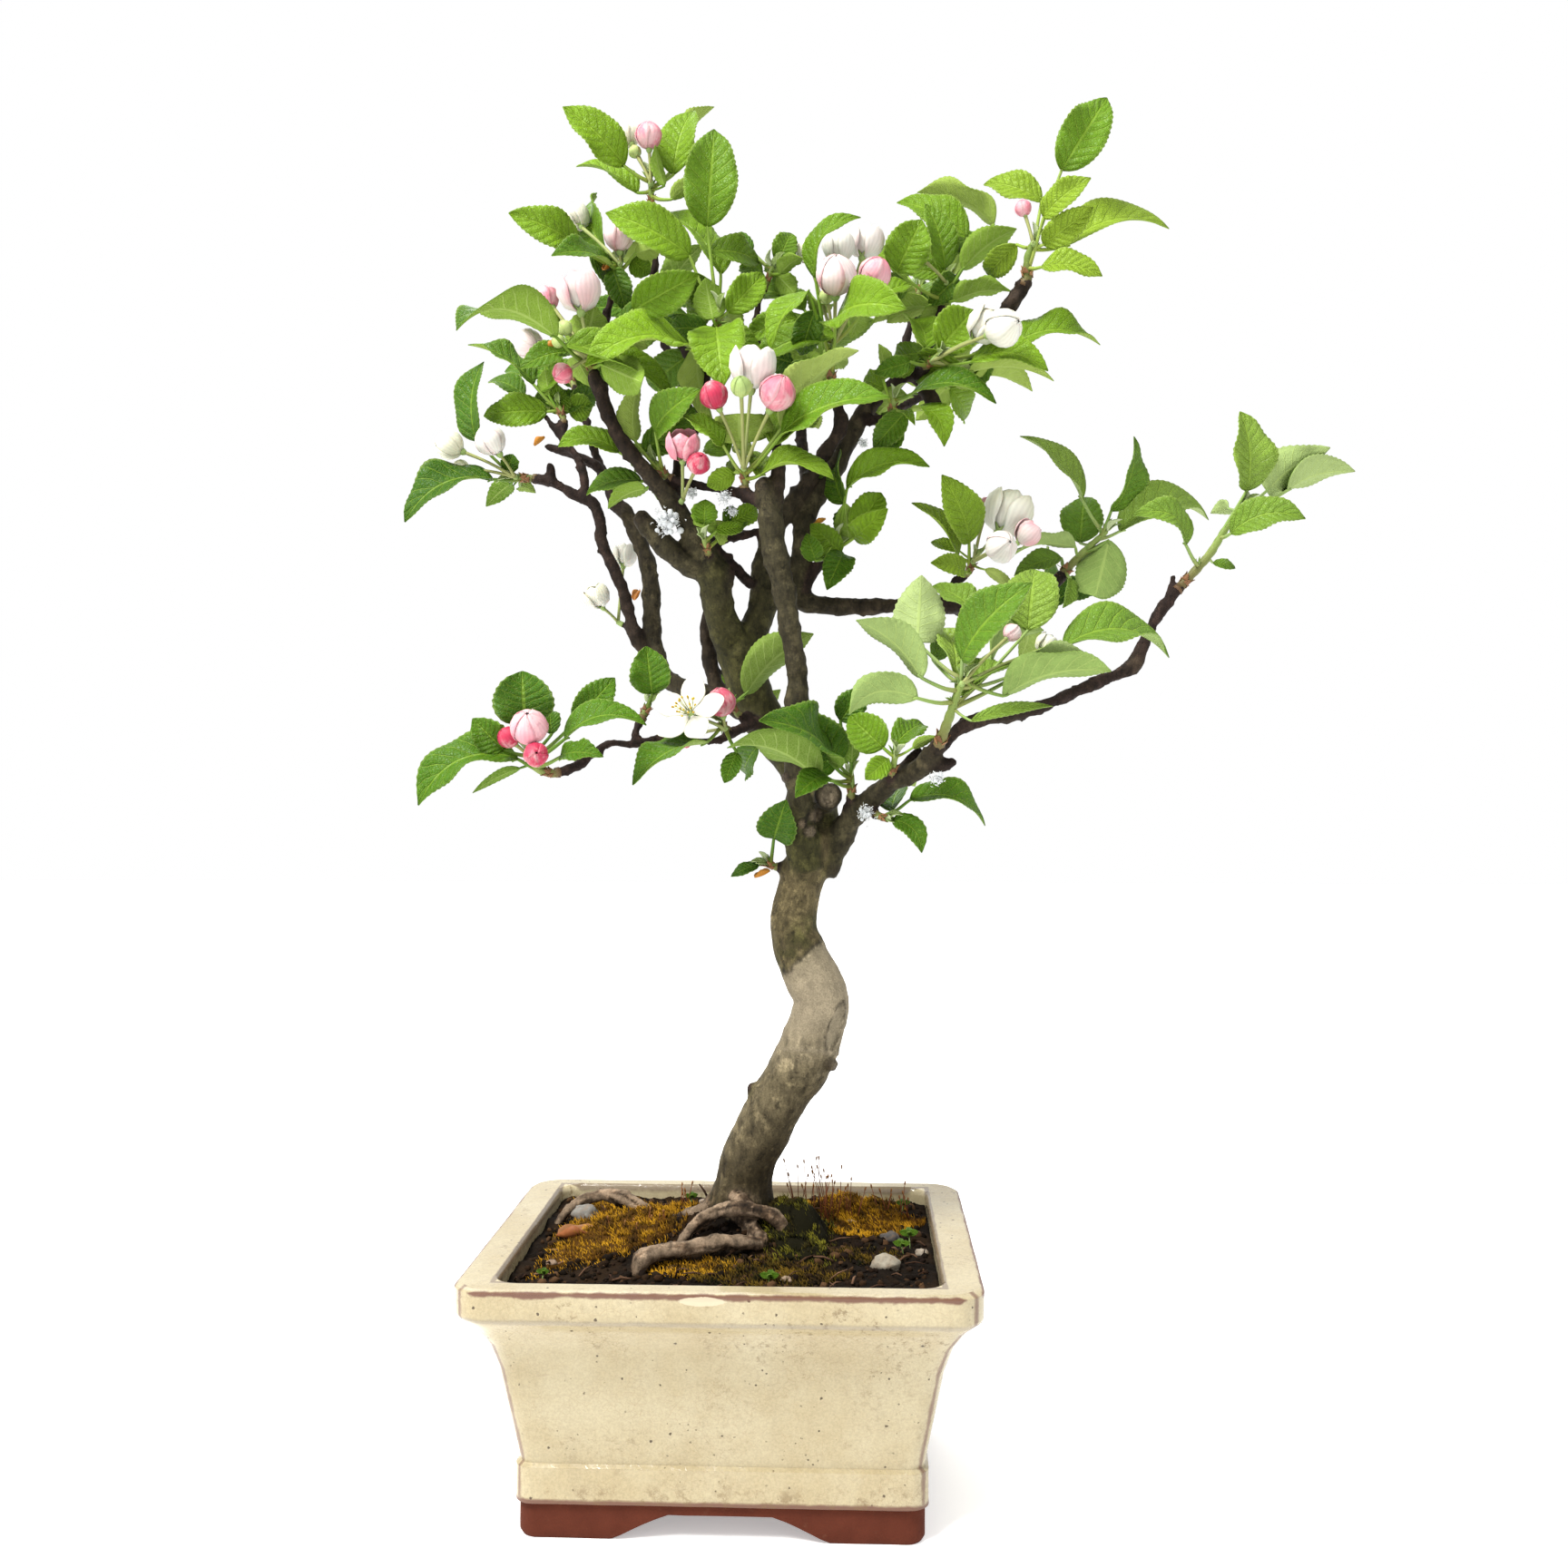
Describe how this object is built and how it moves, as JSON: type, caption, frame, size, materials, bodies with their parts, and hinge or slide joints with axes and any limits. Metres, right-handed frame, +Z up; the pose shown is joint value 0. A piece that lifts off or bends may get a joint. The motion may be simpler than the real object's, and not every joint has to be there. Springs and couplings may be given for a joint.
{
  "type": "potted bonsai tree",
  "caption": "Crabapple bonsai in blossom with a winding trunk and spreading branches, in a rectangular glazed pot with flared lip and low feet.",
  "frame": {"origin": "middle of the whole thing's box, on the ground under the pot's feet", "axes": "+Z up; -Y is the side that the picture shows, with the pot's long sides along X"},
  "size_m": [0.4244, 0.2198, 0.6236],
  "materials": {
    "glaze": "cream crackled glaze over bare red-brown feet",
    "earth": "crumbly dark soil",
    "bark": "matt grey-brown bark",
    "leaf": "satin green, paler and downy beneath",
    "petal": "soft white to deep pink",
    "moss": "matt golden to dark green moss",
    "stone": "rough pale stone",
    "screen": "matt black"
  },
  "bodies": {
    "root": {"blossom_back": "petal", "blossom_centre": "petal", "blossom_far_left": "petal", "blossom_high_left": "petal", "blossom_high_right": "petal", "blossom_left": "petal", "blossom_level_mid": "petal", "blossom_low_left": "petal", "blossom_low_left_inner": "petal", "blossom_low_right": "petal", "blossom_mid_left": "petal", "blossom_mid_right": "petal", "blossom_right": "petal", "blossom_top_left": "petal", "blossom_top_right": "petal", "drain_screen_left": "screen", "drain_screen_right": "screen", "moss_left": "moss", "moss_right": "moss", "moss_trunk": "moss", "pot": "glaze", "shoot_centre": "leaf", "shoot_drooping": "leaf", "shoot_far_left": "leaf", "shoot_far_left_high": "leaf", "shoot_far_right": "leaf", "shoot_fork_stub": "leaf", "shoot_high_left": "leaf", "shoot_high_right": "leaf", "shoot_inner_right": "leaf", "shoot_left": "leaf", "shoot_left_arm": "leaf", "shoot_level_end": "leaf", "shoot_level_mid": "leaf", "shoot_low_left": "leaf", "shoot_low_left_inner": "leaf", "shoot_low_left_twig": "leaf", "shoot_low_right": "leaf", "shoot_low_spur": "leaf", "shoot_mid_left": "leaf", "shoot_mid_right": "leaf", "shoot_rear_centre": "leaf", "shoot_rear_high": "leaf", "shoot_rear_left": "leaf", "shoot_rear_level": "leaf", "shoot_rear_low": "leaf", "shoot_rear_middle": "leaf", "shoot_rear_right": "leaf", "shoot_right": "leaf", "shoot_right_low": "leaf", "shoot_top_centre": "leaf", "shoot_top_left": "leaf", "shoot_top_right": "leaf", "shoot_top_small": "leaf", "shoot_trunk_fork": "leaf", "shoot_trunk_knob": "leaf", "soil": "earth", "stone_grey": "stone", "stone_pale": "stone", "wood": "bark"}
  },
  "joints": []
}
